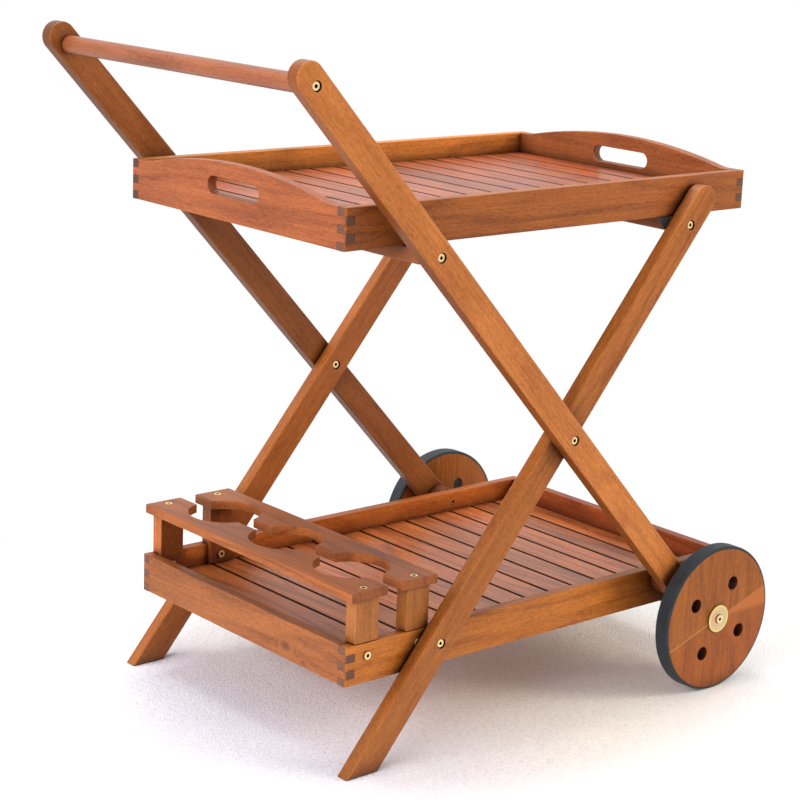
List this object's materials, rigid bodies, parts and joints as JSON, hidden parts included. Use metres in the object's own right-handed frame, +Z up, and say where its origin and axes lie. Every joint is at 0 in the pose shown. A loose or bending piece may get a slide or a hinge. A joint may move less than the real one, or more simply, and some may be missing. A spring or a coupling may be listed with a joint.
{
  "type": "bar cart",
  "caption": "Wooden bar cart with crossed legs, a push bar, wooden wheels with rubber tyres, a lift-off serving tray and a lower tray with a bottle rack.",
  "frame": {"origin": "on the floor under the middle of the whole cart", "axes": "+X from the push bar to the wheels, +Y across the cart to its far side, +Z up"},
  "size_m": [0.8172, 0.586, 0.8626],
  "materials": {
    "leg_wood": "oiled teak, satin",
    "board_wood": "oiled teak, satin",
    "slat_wood": "oiled teak, satin",
    "rack_wood": "oiled teak, satin",
    "wheel_wood": "glued teak boards, oiled",
    "brass": "bright, lightly polished",
    "axle_steel": "drawn bar",
    "bracket_paint": "black powder coat",
    "tyre_rubber": "plain black rubber",
    "nylon": "natural nylon"
  },
  "bodies": {
    "frame": {"axle": "axle_steel", "handle_bar": "leg_wood", "handle_bolt_far": "brass", "handle_bolt_near": "brass", "handle_end_rail": "board_wood", "handle_leg_far": "leg_wood", "handle_leg_near": "leg_wood", "handle_leg_tray_bolt_far": "brass", "handle_leg_tray_bolt_near": "brass", "handle_rail_bolt_far": "brass", "handle_rail_bolt_near": "brass", "hub_bolt_far": "brass", "hub_bolt_near": "brass", "hub_washer_far": "brass", "hub_washer_near": "brass", "lower_deck": "slat_wood", "lower_end_board_handle": "board_wood", "lower_end_board_wheel": "board_wood", "lower_side_board_far": "board_wood", "lower_side_board_near": "board_wood", "pivot_bolt_far": "brass", "pivot_bolt_near": "brass", "pivot_nut_far": "brass", "pivot_nut_near": "brass", "rack_bar_handle": "rack_wood", "rack_bar_wheel": "rack_wood", "rack_post_bolt_handle_far": "brass", "rack_post_bolt_handle_near": "brass", "rack_post_bolt_wheel_far": "brass", "rack_post_bolt_wheel_near": "brass", "rack_post_handle_far": "rack_wood", "rack_post_handle_near": "rack_wood", "rack_post_wheel_far": "rack_wood", "rack_post_wheel_near": "rack_wood", "rail_bracket_far": "bracket_paint", "rail_bracket_near": "bracket_paint", "short_leg_far": "leg_wood", "short_leg_near": "leg_wood", "short_leg_tray_bolt_far": "brass", "short_leg_tray_bolt_near": "brass", "tray_spacer_far": "leg_wood", "tray_spacer_near": "leg_wood", "tray_washer_far": "nylon", "tray_washer_near": "nylon", "wheel_end_rail": "board_wood", "wheel_rail_bolt_far": "brass", "wheel_rail_bolt_near": "brass", "wheel_spacer_far": "nylon", "wheel_spacer_near": "nylon"},
    "top_tray": {"top_side_board_near": "board_wood", "top_side_board_far": "board_wood", "top_end_board_handle": "board_wood", "top_end_board_wheel": "board_wood", "top_deck": "slat_wood"},
    "wheel_near": {"wheel_disc_near": "wheel_wood", "tyre_near": "tyre_rubber", "wheel_bush_near": "nylon"},
    "wheel_far": {"wheel_disc_far": "wheel_wood", "tyre_far": "tyre_rubber", "wheel_bush_far": "nylon"}
  },
  "joints": [
    {"name": "top_tray_lift", "type": "slide", "parent": "frame", "child": "top_tray", "axis": [0, 0, 1], "range_m": [0, 0.3]},
    {"name": "wheel_near_spin", "type": "hinge", "parent": "frame", "child": "wheel_near", "pos_m": [0.3086, -0.2775, 0.1], "axis": [0, 1, 0], "continuous": true},
    {"name": "wheel_far_spin", "type": "hinge", "parent": "frame", "child": "wheel_far", "pos_m": [0.3086, 0.2775, 0.1], "axis": [0, 1, 0], "continuous": true}
  ]
}
